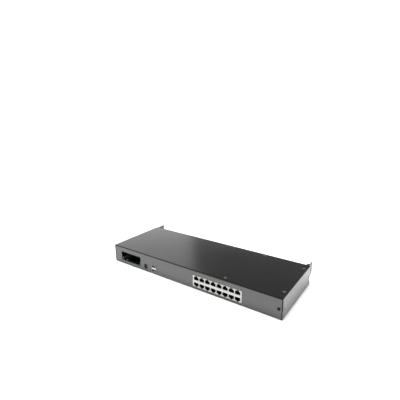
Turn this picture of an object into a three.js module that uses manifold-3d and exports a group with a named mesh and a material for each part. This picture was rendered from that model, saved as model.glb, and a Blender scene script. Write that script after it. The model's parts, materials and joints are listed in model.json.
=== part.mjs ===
// A sixteen-port rack KVM switch module: a low steel box with two rows of network sockets, a twin
// USB socket, a DC inlet and an open card bay on its port face, and two lugs and a D connector on
// the docking face. All sizes are in millimetres. X runs along the port face, Y from the port face
// to the docking face, Z is up, and the origin is the middle of the underside.
import * as THREE from "three";
import { mergeVertices } from "three/addons/utils/BufferGeometryUtils.js";
import Module from "manifold-3d";

const wasm = await Module();
wasm.setup();

// Case
const WIDTH = 440;
const DEPTH = 155.2;
const HEIGHT = 43.6;
const SHEET = 1.2;
const SEAM = 0.4; // between two sheets that meet
const CLEAR = 0.3; // between two pieces that touch on the real object
const BEND = 1.5; // outer radius of the cover's two folds
const FLANGE = 14; // inward rim that the cover is screwed to
const REAR = -DEPTH / 2;
const FRONT = DEPTH / 2;
const TRAY_SIDE = WIDTH / 2 - SHEET - SEAM;
const TRAY_TOP = HEIGHT - SHEET - SEAM;

// Main board
const BOARD_TOP = 6;
const BOARD_THICK = 1.6;
const BOARD_HALF = 206;
const BOARD_REAR = REAR + 3.1;
const BOARD_FRONT = 58;
const ON_BOARD = BOARD_TOP + CLEAR;
const POSTS = [
  [-186, -69.5],
  [0, -55],
  [196, -68],
  [-200, 50],
  [0, 50],
  [196, 50],
];

// Screws
const SHANK = 1.5;
const HEAD = 3;
const HEAD_DEEP = 1.4;
const HEAD_RIM = 0.25; // straight edge of a countersunk head
const PAN_HEAD = 2.8;
const PAN_SHANK = 1.3;
const RECESS = { arm: 3.2, wide: 0.6 }; // cross recess in every head
const SCREW_SIDES = 20;

// Network sockets: eight columns, each a pair of jacks, one latch-up and one latch-down
const COLUMNS = 8;
const PITCH = 13.97;
const PORTS_MIDDLE = 80.8;
const SHIELD_WIDE = 115.6;
const SHIELD_TOP = 31.5;
const SHIELD_SHEET = 0.8;
const SHIELD_FACE = REAR - 0.4;
const SHIELD_DEEP = 22;
const JACK_WIDE = 11.6;
const JACK_TALL = 6.5;
const JACK_DEEP = 14;
const LATCH_STEPS = [
  [6.4, 1.3],
  [3.6, 2.5],
]; // width and reach of each step of the latch channel
const UPPER_SILL = 21.9; // flat edge of the upper jacks
const LOWER_SILL = 15.9; // flat edge of the lower jacks

// Twin USB socket and DC inlet
const USB_MIDDLE = -88.6;
const USB_WIDE = 13.2;
const USB_TOP = 21.9;
const USB_FACE = REAR - 0.4;
const USB_DEEP = 17;
const USB_SLOT = { wide: 12.4, tall: 5.1, deep: 11 };
const USB_SLOT_HEIGHTS = [9.25, 18.95];
const DC_MIDDLE = -114.7;
const DC_WIDE = 9.4;
const DC_TOP = 18.2;
const DC_FACE = REAR - 0.2;
const DC_DEEP = 14;
const DC_HOLE = { radius: 3.2, z: 12.2, deep: 10 };

// Card bay
const BAY = { left: -196.4, right: -131.3, low: 8.8, high: 30.8 };
const BAY_MIDDLE = (BAY.left + BAY.right) / 2;
const BAY_END = 34;
const RAIL_WIDE = 5.4;
const CARD_HEIGHT = 12.7;
const CARD_SLOT = 2.2;
const BAY_SOCKET_WIDE = 52;

// Docking face
const DOCK_MIDDLE = 151.5;
const DOCK_HEIGHT = 25;
const DOCK_SCREWS = 63.5; // distance between the two jackscrews
const DOCK_WINDOW = [57.2, 11.2];
const DOCK_PLATE = [69.2, 12.6];
const DOCK_BACK = [58, 10];
const DOCK_INSIDE = FRONT - SHEET - CLEAR;
const LUG_OUTER = 216.6;
const LUG_SHEET = 1.5;
const LUG_TIP = 102;
const LUG_HOLE = { y: 93, z: 26, radius: 2.2 };
const LUG_FOLD = 6;
const LUG_ROOT = 56; // where the lug's plate starts, inside the case
const LUG_FOOT = 4;

// Screw places: on the cover (x, y), and on the sides (y, z)
const COVER_SCREWS = [
  [212, -53],
  [212, 57],
  [97, -69],
  [117.5, 72],
  [-174, 72],
];
const LUG_SCREWS = { upper: [66, 22.6], lower: [70, 8.3] };
const CORNER_SCREW = { y: -70.6, x: 212.5, z: 21 };

// ---- shapes -------------------------------------------------------------------------------

function box(x0, x1, y0, y1, z0, z1) {
  const shape = new THREE.BoxGeometry(x1 - x0, y1 - y0, z1 - z0);
  return shape.translate((x0 + x1) / 2, (y0 + y1) / 2, (z0 + z1) / 2);
}

// A box given by its middle and width along X, its ends along Y, and its middle and height along Z.
function block(x, wide, y0, y1, z, tall) {
  return box(x - wide / 2, x + wide / 2, y0, y1, z - tall / 2, z + tall / 2);
}

// Turns a shape built along +Z so that it runs along another axis, its flat side kept upright.
const TURNS = {
  x: [new THREE.Vector3(0, 1, 0), new THREE.Vector3(0, 0, 1), new THREE.Vector3(1, 0, 0)],
  y: [new THREE.Vector3(-1, 0, 0), new THREE.Vector3(0, 0, 1), new THREE.Vector3(0, 1, 0)],
  z: [new THREE.Vector3(1, 0, 0), new THREE.Vector3(0, 1, 0), new THREE.Vector3(0, 0, 1)],
};

function turned(geometry, axis) {
  return geometry.applyMatrix4(new THREE.Matrix4().makeBasis(...TURNS[axis]));
}

// A straight round bar along an axis, from low to high, centred on the point (x, y, z).
function bar(axis, radius, low, high, centre, sides = SCREW_SIDES) {
  const shape = new THREE.CylinderGeometry(radius, radius, high - low, sides);
  shape.rotateX(Math.PI / 2).translate(0, 0, (low + high) / 2);
  return turned(shape, axis).translate(...centre);
}

function outline(points) {
  return new THREE.Shape(points.map(([a, b]) => new THREE.Vector2(a, b)));
}

// A flat outline in (y, z), given thickness along X.
function plateAcrossX(points, x0, x1) {
  const shape = new THREE.ExtrudeGeometry(outline(points), { depth: x1 - x0, bevelEnabled: false });
  return turned(shape, "x").translate(x0, 0, 0);
}

// A flat outline in (x, z), given length along Y.
function profileAlongY(shape, y0, y1) {
  const settings = { depth: y1 - y0, bevelEnabled: false, curveSegments: 5 };
  const geometry = new THREE.ExtrudeGeometry(shape, settings);
  return geometry.rotateX(Math.PI / 2).translate(0, y1, 0);
}

// ---- joining and cutting ------------------------------------------------------------------

function solid(geometry) {
  const bare = geometry.clone();
  bare.deleteAttribute("normal");
  bare.deleteAttribute("uv");
  const merged = mergeVertices(bare, 1e-4);
  const vertProperties = merged.attributes.position.array;
  const triVerts = new Uint32Array(merged.index.array);
  return new wasm.Manifold(new wasm.Mesh({ numProp: 3, vertProperties, triVerts }));
}

function surface(manifold) {
  const mesh = manifold.getMesh();
  const geometry = new THREE.BufferGeometry();
  geometry.setAttribute("position", new THREE.BufferAttribute(mesh.vertProperties, 3));
  geometry.setIndex(new THREE.BufferAttribute(mesh.triVerts, 1));
  geometry.computeVertexNormals();
  return geometry;
}

function joined(...shapes) {
  return surface(shapes.map(solid).reduce((a, b) => a.add(b)));
}

function cut(base, ...tools) {
  return surface(tools.map(solid).reduce((a, b) => a.subtract(b), solid(base)));
}

// ---- finishes -----------------------------------------------------------------------------

const FINISHES = {
  case: { color: 0x3d3d3f, roughness: 0.45, metalness: 0.2 },
  bracket: { color: 0x303032, roughness: 0.5, metalness: 0.3 },
  screw: { color: 0x4a4a4c, roughness: 0.4, metalness: 0.8 },
  tinned: { color: 0xd9d9d6, roughness: 0.25, metalness: 1 },
  jack: { color: 0x141414, roughness: 0.55, metalness: 0 },
  board: { color: 0x14231b, roughness: 0.5, metalness: 0 },
  chip: { color: 0x1b1b1d, roughness: 0.5, metalness: 0 },
  zinc: { color: 0xb4b4b0, roughness: 0.35, metalness: 1 },
  heatsink: { color: 0x26262a, roughness: 0.45, metalness: 0.7 },
};

const model = new THREE.Group();

function place(name, geometry, finish) {
  const mesh = new THREE.Mesh(geometry, new THREE.MeshStandardMaterial(FINISHES[finish]));
  mesh.name = name;
  model.add(mesh);
}

// ---- case ---------------------------------------------------------------------------------

const PAST = 2; // how far a cutting shape runs past the sheet it cuts

// The window that a jack column's shield and housing share, with its latch channel.
function jackWindow(column, upper, y0, y1, grow = 0) {
  const x = columnMiddle(column);
  const sill = upper ? UPPER_SILL : LOWER_SILL;
  const way = upper ? 1 : -1;
  const body = [sill - way * grow, sill + way * (JACK_TALL + grow)].sort((a, b) => a - b);
  const half = JACK_WIDE / 2 + grow;
  const steps = LATCH_STEPS.map(([wide, reach]) => {
    const ends = [sill + way, sill + way * (JACK_TALL + reach + grow)].sort((a, b) => a - b);
    return box(x - wide / 2 - grow, x + wide / 2 + grow, y0, y1, ...ends);
  });
  return joined(box(x - half, x + half, y0, y1, ...body), ...steps);
}

function columnMiddle(column) {
  return PORTS_MIDDLE + (column - (COLUMNS - 1) / 2) * PITCH;
}

// The room for a countersunk screw head: a wide mouth that narrows to a plain hole under the sheet.
function countersink(axis, outside, centre) {
  const half = [
    [0, -HEAD_DEEP - CLEAR],
    [SHANK + CLEAR, -HEAD_DEEP - CLEAR],
    [SHANK + CLEAR, -HEAD_DEEP],
    [HEAD + CLEAR, -HEAD_RIM],
    [HEAD + CLEAR, PAST],
    [0, PAST],
  ];
  const mouth = new THREE.LatheGeometry(half.map(([r, y]) => new THREE.Vector2(r, y)), SCREW_SIDES);
  mouth.rotateX(outside > 0 ? Math.PI / 2 : -Math.PI / 2).translate(0, 0, outside);
  return turned(mouth, axis).translate(...centre);
}

function makeTray() {
  const side = TRAY_SIDE;
  const within = side - SHEET;
  const shell = box(-side, side, REAR, FRONT, 0, TRAY_TOP);
  const inside = box(-within, within, REAR + SHEET, FRONT - SHEET, SHEET, TRAY_TOP - SHEET);
  const rim = FLANGE + SHEET;
  const half = side - rim;
  const mouth = box(-half, half, REAR + rim, FRONT - rim, TRAY_TOP - PAST, TRAY_TOP + PAST);
  const rearWindow = (x, wide, top) => {
    const reach = wide / 2 + CLEAR;
    return box(x - reach, x + reach, REAR - PAST, REAR + PAST, BOARD_TOP, top + CLEAR);
  };
  const lugSlots = [-1, 1].map((hand) => {
    const ends = [hand * (LUG_OUTER - LUG_SHEET - CLEAR), hand * (LUG_OUTER + CLEAR)];
    ends.sort((a, b) => a - b);
    return box(...ends, FRONT - PAST, FRONT + PAST, LUG_FOOT - 0.5, TRAY_TOP - SHEET - CLEAR);
  });
  const coverHoles = COVER_SCREWS.map(([x, y]) => {
    return bar("z", SHANK + CLEAR, TRAY_TOP - PAST, TRAY_TOP + PAST, [x, y, 0]);
  });
  const lugHoles = [-1, 1].flatMap((hand) => Object.values(LUG_SCREWS).map(([y, z]) => {
    return bar("x", SHANK + CLEAR, side - PAST, side + PAST, [hand < 0 ? -2 * side : 0, y, z]);
  }));
  const { x, y, z } = CORNER_SCREW;
  return cut(
    shell,
    inside,
    mouth,
    box(BAY.left, BAY.right, REAR - PAST, REAR + PAST, BAY.low, BAY.high),
    rearWindow(PORTS_MIDDLE, SHIELD_WIDE, SHIELD_TOP),
    rearWindow(USB_MIDDLE, USB_WIDE, USB_TOP),
    rearWindow(DC_MIDDLE, DC_WIDE, DC_TOP),
    bar("y", SHANK + CLEAR, REAR - PAST, REAR + PAST, [x, 0, z]),
    bar("x", SHANK + CLEAR, side - PAST, side + PAST, [0, y, z]),
    block(DOCK_MIDDLE, DOCK_WINDOW[0], FRONT - PAST, FRONT + PAST, DOCK_HEIGHT, DOCK_WINDOW[1]),
    ...dockScrewPlaces().map((across) => {
      return bar("y", SHANK + CLEAR, FRONT - PAST, FRONT + PAST, [across, 0, DOCK_HEIGHT]);
    }),
    ...lugSlots,
    ...coverHoles,
    ...lugHoles,
  );
}

// One folded sheet: the top and both sides, with rounded folds.
function makeCover() {
  const side = WIDTH / 2;
  const foot = 0.6;
  const inner = BEND - SHEET;
  const shape = new THREE.Shape();
  shape.moveTo(-side, foot);
  shape.lineTo(-side + SHEET, foot);
  shape.lineTo(-side + SHEET, HEIGHT - BEND);
  shape.absarc(-side + BEND, HEIGHT - BEND, inner, Math.PI, Math.PI / 2, true);
  shape.lineTo(side - BEND, HEIGHT - SHEET);
  shape.absarc(side - BEND, HEIGHT - BEND, inner, Math.PI / 2, 0, true);
  shape.lineTo(side - SHEET, foot);
  shape.lineTo(side, foot);
  shape.lineTo(side, HEIGHT - BEND);
  shape.absarc(side - BEND, HEIGHT - BEND, BEND, 0, Math.PI / 2, false);
  shape.lineTo(-side + BEND, HEIGHT);
  shape.absarc(-side + BEND, HEIGHT - BEND, BEND, Math.PI / 2, Math.PI, false);
  const holes = COVER_SCREWS.map(([x, y]) => countersink("z", HEIGHT, [x, y, 0]));
  for (const hand of [-1, 1]) {
    for (const [y, z] of Object.values(LUG_SCREWS)) {
      holes.push(countersink("x", hand * side, [0, y, z]));
    }
  }
  holes.push(countersink("x", side, [0, CORNER_SCREW.y, CORNER_SCREW.z]));
  return cut(profileAlongY(shape, REAR, FRONT), ...holes);
}

// A strip of plate that reaches forward out of the docking face, to be screwed to the neighbour.
function makeLug(hand) {
  const outer = hand * LUG_OUTER;
  const inner = hand * (LUG_OUTER - LUG_SHEET);
  const [x0, x1] = [outer, inner].sort((a, b) => a - b);
  const top = HEIGHT - CLEAR;
  const shoulder = TRAY_TOP - SHEET - 2 * CLEAR;
  const neck = FRONT + 0.6;
  const plate = plateAcrossX(
    [
      [LUG_ROOT, LUG_FOOT],
      [FRONT + 1, LUG_FOOT],
      [FRONT + 8, 12],
      [LUG_TIP - 6, 12],
      [LUG_TIP, 18],
      [LUG_TIP, top],
      [neck, top],
      [neck, shoulder],
      [LUG_ROOT, shoulder],
    ],
    x0,
    x1,
  );
  const ends = [outer, hand * (LUG_OUTER - LUG_FOLD)].sort((a, b) => a - b);
  const fold = box(...ends, neck, neck + 7.9, top - LUG_SHEET, top);
  const holes = Object.values(LUG_SCREWS).map(([y, z]) => {
    return bar("x", SHANK + CLEAR, -PAST, PAST, [outer, y, z]);
  });
  const { y, z, radius } = LUG_HOLE;
  return cut(joined(plate, fold), ...holes, bar("x", radius, -PAST, PAST, [outer, y, z]));
}

// An angle that ties the port wall to the right wall inside the corner.
function makeCornerBracket() {
  const { x, y, z } = CORNER_SCREW;
  const leg = 12;
  const tall = 20;
  const wall = TRAY_SIDE - SHEET - CLEAR;
  const back = REAR + SHEET + CLEAR;
  const angle = joined(
    block(wall - leg / 2, leg, back, back + SHEET, z, tall),
    block(wall - SHEET / 2, SHEET, back, back + leg, z, tall),
  );
  return cut(
    angle,
    bar("y", SHANK + CLEAR, REAR, back + PAST, [x, 0, z]),
    bar("x", SHANK + CLEAR, wall - PAST, wall + PAST, [0, y, z]),
  );
}

// A countersunk cross-head screw whose head lies flush at the origin and whose shank points to -Z.
function makeScrew(length) {
  const half = [
    [0, -length],
    [SHANK, -length],
    [SHANK, -HEAD_DEEP],
    [HEAD, -HEAD_RIM],
    [HEAD, 0],
    [0, 0],
  ];
  const body = new THREE.LatheGeometry(half.map(([r, y]) => new THREE.Vector2(r, y)), SCREW_SIDES);
  return cut(body.rotateX(Math.PI / 2), ...crossRecess(-0.8));
}

// The two crossed slots of a recess that starts at a depth and runs out past the head.
function crossRecess(depth) {
  const middle = depth + PAST;
  return [
    block(0, RECESS.arm, -RECESS.wide / 2, RECESS.wide / 2, middle, 2 * PAST),
    block(0, RECESS.wide, -RECESS.arm / 2, RECESS.arm / 2, middle, 2 * PAST),
  ];
}

// A pan-head screw that sits with the underside of its head at the origin.
function makePanScrew(length) {
  const half = [
    [0, -length],
    [PAN_SHANK, -length],
    [PAN_SHANK, 0],
    [PAN_HEAD, 0],
    [PAN_HEAD, 1.2],
    [PAN_HEAD - 0.8, 1.9],
    [0, 1.9],
  ];
  const body = new THREE.LatheGeometry(half.map(([r, y]) => new THREE.Vector2(r, y)), SCREW_SIDES);
  return cut(body.rotateX(Math.PI / 2), ...crossRecess(1.2));
}

function placeCaseScrews() {
  COVER_SCREWS.forEach(([x, y], index) => {
    place(`cover_screw_${index + 1}`, makeScrew(6).translate(x, y, HEIGHT), "screw");
  });
  for (const [hand, side] of [[-1, "left"], [1, "right"]]) {
    for (const [row, [y, z]] of Object.entries(LUG_SCREWS)) {
      const screw = makeScrew(6).rotateY((hand * Math.PI) / 2);
      place(`${side}_lug_screw_${row}`, screw.translate((hand * WIDTH) / 2, y, z), "screw");
    }
  }
  const { x, y, z } = CORNER_SCREW;
  place("corner_side_screw", makeScrew(6).rotateY(Math.PI / 2).translate(WIDTH / 2, y, z), "screw");
  const rear = makePanScrew(5).rotateX(Math.PI / 2).translate(x, REAR - CLEAR, z);
  place("corner_rear_screw", rear, "screw");
}

// ---- main board ---------------------------------------------------------------------------

function makeBoard() {
  const low = BOARD_TOP - BOARD_THICK;
  const sheet = box(-BOARD_HALF, BOARD_HALF, BOARD_REAR, BOARD_FRONT, low, BOARD_TOP);
  return cut(sheet, ...POSTS.map(([x, y]) => bar("z", PAN_SHANK + CLEAR, 0, 10, [x, y, 0])));
}

function placePosts() {
  const under = BOARD_TOP - BOARD_THICK - CLEAR;
  POSTS.forEach(([x, y], index) => {
    const post = bar("z", 3.2, SHEET + CLEAR, under, [x, y, 0], 6);
    const bore = bar("z", PAN_SHANK + CLEAR, SHEET + 1, under + 1, [x, y, 0], 12);
    place(`standoff_${index + 1}`, cut(post, bore), "zinc");
    place(`board_screw_${index + 1}`, makePanScrew(3.6).translate(x, y, ON_BOARD), "zinc");
  });
}

// A low square part soldered on the board.
function chip(x, y, size, tall) {
  const half = size / 2;
  return box(x - half, x + half, y - half, y + half, ON_BOARD, ON_BOARD + tall);
}

function makeHeatsink(x, y, low) {
  const half = 15;
  const fins = 9;
  const base = box(x - half, x + half, y - half, y + half, low, low + 2.5);
  const step = (2 * half - 1.4) / (fins - 1);
  const blades = Array.from({ length: fins }, (_, index) => {
    const at = x - half + index * step;
    return box(at, at + 1.4, y - half, y + half, low + 2, low + 13);
  });
  return joined(base, ...blades);
}

function makeCapacitor(x, y, radius, tall) {
  const half = [
    [0, 0],
    [radius, 0],
    [radius, 1.6],
    [radius - 0.4, 2.1],
    [radius, 2.6],
    [radius, tall - 0.4],
    [radius - 0.5, tall],
    [0, tall],
  ];
  const can = new THREE.LatheGeometry(half.map(([r, h]) => new THREE.Vector2(r, h)), 20);
  return can.rotateX(Math.PI / 2).translate(x, y, ON_BOARD);
}

function makeInductor(x, y) {
  return joined(
    box(x - 6, x + 6, y - 6, y + 6, ON_BOARD, ON_BOARD + 1.6),
    bar("z", 5.6, ON_BOARD + 1, ON_BOARD + 7.5, [x, y, 0], 24),
  );
}

function placeBoardParts() {
  place("processor", chip(20, 8, 24, 2), "chip");
  place("heatsink", makeHeatsink(20, 8, ON_BOARD + 2 + CLEAR), "heatsink");
  place("switch_chip_1", chip(64, -20, 16, 1.6), "chip");
  place("switch_chip_2", chip(104, -20, 16, 1.6), "chip");
  place("memory_chip", chip(-28, 14, 12, 1.2), "chip");
  place("crystal", box(-8, 3, 26, 31, ON_BOARD, ON_BOARD + 3.5), "tinned");
  place("inductor", makeInductor(-104, -30), "chip");
  place("capacitor_1", makeCapacitor(-84, -34, 4, 11), "tinned");
  place("capacitor_2", makeCapacitor(-84, -22, 4, 11), "tinned");
}

// ---- port face ----------------------------------------------------------------------------

function makeShield() {
  const half = SHIELD_WIDE / 2;
  const [x0, x1] = [PORTS_MIDDLE - half, PORTS_MIDDLE + half];
  const shell = box(x0, x1, SHIELD_FACE, SHIELD_FACE + SHIELD_DEEP, ON_BOARD, SHIELD_TOP);
  const wall = SHIELD_SHEET;
  const end = SHIELD_FACE + SHIELD_DEEP - wall;
  const inside = box(x0 + wall, x1 - wall, SHIELD_FACE + wall, end, 0, SHIELD_TOP - wall);
  const windows = [];
  for (let column = 0; column < COLUMNS; column++) {
    for (const upper of [true, false]) {
      windows.push(jackWindow(column, upper, SHIELD_FACE - PAST, SHIELD_FACE + wall + 0.1, 0.15));
    }
  }
  return cut(shell, inside, ...windows);
}

function makePortPair(column) {
  const x = columnMiddle(column);
  const half = PITCH / 2 - 0.45;
  const mouth = SHIELD_FACE + SHIELD_SHEET + CLEAR;
  const end = SHIELD_FACE + SHIELD_DEEP - SHIELD_SHEET - CLEAR;
  const top = SHIELD_TOP - SHIELD_SHEET - CLEAR;
  const block = box(x - half, x + half, mouth, end, ON_BOARD + 0.1, top);
  const depth = mouth + JACK_DEEP;
  return cut(
    block,
    jackWindow(column, true, mouth - PAST, depth),
    jackWindow(column, false, mouth - PAST, depth),
  );
}

// The bright can of the twin socket: two slots in front, open behind, and a passage between.
function makeUsbShell() {
  const half = USB_WIDE / 2;
  const [x0, x1] = [USB_MIDDLE - half, USB_MIDDLE + half];
  const wall = SHIELD_SHEET;
  const back = USB_FACE + USB_SLOT.deep;
  const end = USB_FACE + USB_DEEP;
  const shell = box(x0, x1, USB_FACE, end, ON_BOARD, USB_TOP);
  const slots = USB_SLOT_HEIGHTS.map((z) => {
    return block(USB_MIDDLE, USB_SLOT.wide, USB_FACE - PAST, back, z, USB_SLOT.tall);
  });
  const hollow = box(x0 + wall, x1 - wall, back + wall, end + PAST, 0, USB_TOP - wall);
  const [lower, upper] = USB_SLOT_HEIGHTS;
  const passage = box(USB_MIDDLE - 4, USB_MIDDLE + 4, back - 1, back + 2, lower, upper + 2.2);
  return cut(shell, ...slots, hollow, passage);
}

// Both contact tongues, on one moulding that stands behind the can's slots.
function makeUsbTongues() {
  const back = USB_FACE + USB_SLOT.deep;
  const [lower, upper] = USB_SLOT_HEIGHTS;
  const tongues = USB_SLOT_HEIGHTS.map((z) => {
    return block(USB_MIDDLE, 10.6, USB_FACE + 1.8, back - CLEAR, z + 1, 1.8);
  });
  const web = box(USB_MIDDLE - 3.6, USB_MIDDLE + 3.6, back - 0.7, back + 1.7, lower + 0.3, upper + 1.8);
  const foot = box(USB_MIDDLE - 5.4, USB_MIDDLE + 5.4, back + 1.2, back + 5, ON_BOARD + 0.1, USB_TOP - 1.2);
  return joined(...tongues, web, foot);
}

function makeDcBody() {
  const { radius, z, deep } = DC_HOLE;
  const half = DC_WIDE / 2;
  const end = DC_FACE + DC_DEEP;
  const body = box(DC_MIDDLE - half, DC_MIDDLE + half, DC_FACE, end, ON_BOARD, DC_TOP);
  return cut(body, bar("y", radius, DC_FACE - PAST, DC_FACE + deep, [DC_MIDDLE, 0, z], 28));
}

function makeDcPin() {
  const half = [
    [0, 0],
    [1, 0],
    [1, 8],
    [0.5, 8.6],
    [0, 8.6],
  ];
  const pin = new THREE.LatheGeometry(half.map(([r, h]) => new THREE.Vector2(r, h)), 16);
  const foot = DC_FACE + DC_HOLE.deep - CLEAR;
  return pin.rotateX(Math.PI).translate(DC_MIDDLE, foot, DC_HOLE.z);
}

// ---- card bay -----------------------------------------------------------------------------

function makeRail(hand) {
  const outer = BAY_MIDDLE + hand * ((BAY.right - BAY.left) / 2 + 0.6);
  const inner = outer - hand * RAIL_WIDE;
  const groove = outer - hand * 1.8;
  const sorted = (a, b) => [Math.min(a, b), Math.max(a, b)];
  const [x0, x1] = sorted(outer, inner);
  const [g0, g1] = sorted(groove, inner - hand * PAST);
  const rear = REAR + SHEET + CLEAR;
  const block = box(x0, x1, rear, BAY_END, ON_BOARD, CARD_HEIGHT + 3.4);
  const [low, high] = [CARD_HEIGHT - CARD_SLOT / 2, CARD_HEIGHT + CARD_SLOT / 2];
  return cut(block, box(g0, g1, rear - PAST, BAY_END + PAST, low, high));
}

function makeBaySocket() {
  const [near, far] = [BAY_END + 1, BAY_END + 10];
  const [low, high] = [ON_BOARD, CARD_HEIGHT + 4.4];
  const body = block(BAY_MIDDLE, BAY_SOCKET_WIDE, near, far, (low + high) / 2, high - low);
  return cut(body, block(BAY_MIDDLE, BAY_SOCKET_WIDE - 4, near - PAST, far - 2, CARD_HEIGHT, 2));
}

// ---- docking face -------------------------------------------------------------------------

// The outline of a D connector, with its narrow side down.
function dOutline(half, tall, lean) {
  const low = half - lean;
  return outline([
    [DOCK_MIDDLE - low, DOCK_HEIGHT - tall / 2],
    [DOCK_MIDDLE + low, DOCK_HEIGHT - tall / 2],
    [DOCK_MIDDLE + half, DOCK_HEIGHT + tall / 2],
    [DOCK_MIDDLE - half, DOCK_HEIGHT + tall / 2],
  ]);
}

function makeDockShell() {
  const inside = DOCK_INSIDE;
  const plate = block(DOCK_MIDDLE, DOCK_PLATE[0], inside - 1, inside, DOCK_HEIGHT, DOCK_PLATE[1]);
  const nose = profileAlongY(dOutline(27.7, 8.4, 1.5), inside - 0.5, FRONT + 5.6);
  const hollow = profileAlongY(dOutline(26.9, 6.8, 1.4), inside - 3, FRONT + 7);
  const ears = dockScrewPlaces().map((x) => {
    return bar("y", SHANK + CLEAR, inside - PAST, inside + PAST, [x, 0, DOCK_HEIGHT]);
  });
  return cut(joined(plate, nose), hollow, ...ears);
}

function makeDockInsulator() {
  const plate = DOCK_INSIDE - 1 - CLEAR;
  const filling = profileAlongY(dOutline(26.6, 6.2, 1.4), plate - 0.5, FRONT + 5.3);
  const back = block(DOCK_MIDDLE, DOCK_BACK[0], DOCK_INSIDE - 6, plate, DOCK_HEIGHT, DOCK_BACK[1]);
  return joined(filling, back);
}

function dockScrewPlaces() {
  return [DOCK_MIDDLE - DOCK_SCREWS / 2, DOCK_MIDDLE + DOCK_SCREWS / 2];
}

// A hexagonal jackscrew, with the threaded bore that the neighbour's screw goes into.
function makeJackscrew(x) {
  const screw = joined(
    bar("y", 2.6, FRONT + CLEAR, FRONT + 5.3, [x, 0, DOCK_HEIGHT], 6),
    bar("y", SHANK, DOCK_INSIDE - 5, FRONT + 1, [x, 0, DOCK_HEIGHT], 12),
  );
  return cut(screw, bar("y", 1.2, FRONT + 1.5, FRONT + 7, [x, 0, DOCK_HEIGHT], 12));
}

// The small upright board behind the D connector, and the header that joins it to the main board.
function placeDockBoard() {
  const front = DOCK_INSIDE - 6 - CLEAR;
  const rear = front - BOARD_THICK;
  place("dock_board", block(DOCK_MIDDLE, 74, rear, front, 22.5, 27), "board");
  const plug = rear - CLEAR;
  const [low, high] = [ON_BOARD, ON_BOARD + 9.7];
  const header = joined(
    box(DOCK_MIDDLE - 25, DOCK_MIDDLE + 25, plug - 5, plug, low + 3.7, high),
    box(DOCK_MIDDLE - 25, DOCK_MIDDLE + 25, plug - 13, plug - 4, low, high),
  );
  place("dock_header", header, "jack");
}

// ---- the whole ----------------------------------------------------------------------------

place("base_tray", makeTray(), "case");
place("top_cover", makeCover(), "case");
place("left_docking_lug", makeLug(-1), "bracket");
place("right_docking_lug", makeLug(1), "bracket");
place("corner_bracket", makeCornerBracket(), "bracket");
placeCaseScrews();
place("main_board", makeBoard(), "board");
placePosts();
placeBoardParts();
place("port_shield", makeShield(), "tinned");
for (let column = 0; column < COLUMNS; column++) {
  place(`port_pair_${column + 1}`, makePortPair(column), "jack");
}
place("usb_shell", makeUsbShell(), "tinned");
place("usb_tongues", makeUsbTongues(), "jack");
place("dc_jack_body", makeDcBody(), "jack");
place("dc_jack_pin", makeDcPin(), "tinned");
place("left_guide_rail", makeRail(-1), "jack");
place("right_guide_rail", makeRail(1), "jack");
place("bay_socket", makeBaySocket(), "jack");
place("dock_shell", makeDockShell(), "tinned");
place("dock_insulator", makeDockInsulator(), "jack");
const [leftScrew, rightScrew] = dockScrewPlaces();
place("dock_jackscrew_left", makeJackscrew(leftScrew), "zinc");
place("dock_jackscrew_right", makeJackscrew(rightScrew), "zinc");
placeDockBoard();

export default model;
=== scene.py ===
# %% [markdown]
# # A sixteen-port KVM switch module, finished in Blender
#
# A KVM switch lets one keyboard, screen and mouse work many computers. This one is a flat steel
# box, one rack unit high. Its port face has two rows of network sockets, a twin USB socket, a
# DC inlet and an open bay for a plug-in card. Its docking face has a D connector and two lugs
# that screw to a rack console.
#
# The box was designed in CAD, where every piece is a plain solid of the right size. This lesson
# puts the looks on top: rounded sheet edges, powder coat, sprung contacts, screws with real
# recesses, and soft studio light. The CAD model is the frame, so nothing here is moved or
# resized.

import json
import math

import bmesh
import bpy
from mathutils import Matrix, Vector


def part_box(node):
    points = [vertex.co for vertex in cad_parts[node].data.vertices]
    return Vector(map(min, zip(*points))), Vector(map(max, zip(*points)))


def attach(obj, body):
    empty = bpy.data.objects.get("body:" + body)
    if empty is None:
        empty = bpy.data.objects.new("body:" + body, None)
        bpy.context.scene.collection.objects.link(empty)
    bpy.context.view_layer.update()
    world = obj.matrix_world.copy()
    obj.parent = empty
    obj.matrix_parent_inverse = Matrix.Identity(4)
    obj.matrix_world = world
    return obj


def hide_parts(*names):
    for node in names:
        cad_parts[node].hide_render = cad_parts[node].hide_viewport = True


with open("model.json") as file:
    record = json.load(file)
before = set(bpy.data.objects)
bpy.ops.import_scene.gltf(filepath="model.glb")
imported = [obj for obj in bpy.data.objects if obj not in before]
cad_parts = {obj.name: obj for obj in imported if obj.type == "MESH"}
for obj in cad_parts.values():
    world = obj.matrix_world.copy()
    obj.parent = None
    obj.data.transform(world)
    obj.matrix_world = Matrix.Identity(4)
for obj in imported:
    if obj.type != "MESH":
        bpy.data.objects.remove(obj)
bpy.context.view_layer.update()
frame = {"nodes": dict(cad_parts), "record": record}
scene = bpy.context.scene
MM = 0.001

# %% [markdown]
# ## The camera
#
# A camera can be aimed by a target or by angles. Angles are used here, because a product
# picture is planned by them: the camera stands to the right of the port face, turned 35
# degrees, looking a little down. A short lens close to the box gives its strong perspective.

# %% Camera
CAMERA_PLACE = Vector((0.390, -0.566, 0.356))
CAMERA_TURN = math.radians(35.37)
CAMERA_DOWN = math.radians(14.88)
CAMERA_LEAN = math.radians(-0.56)
CAMERA_LENS = 28.92
CAMERA_NEAR = 0.01


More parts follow.
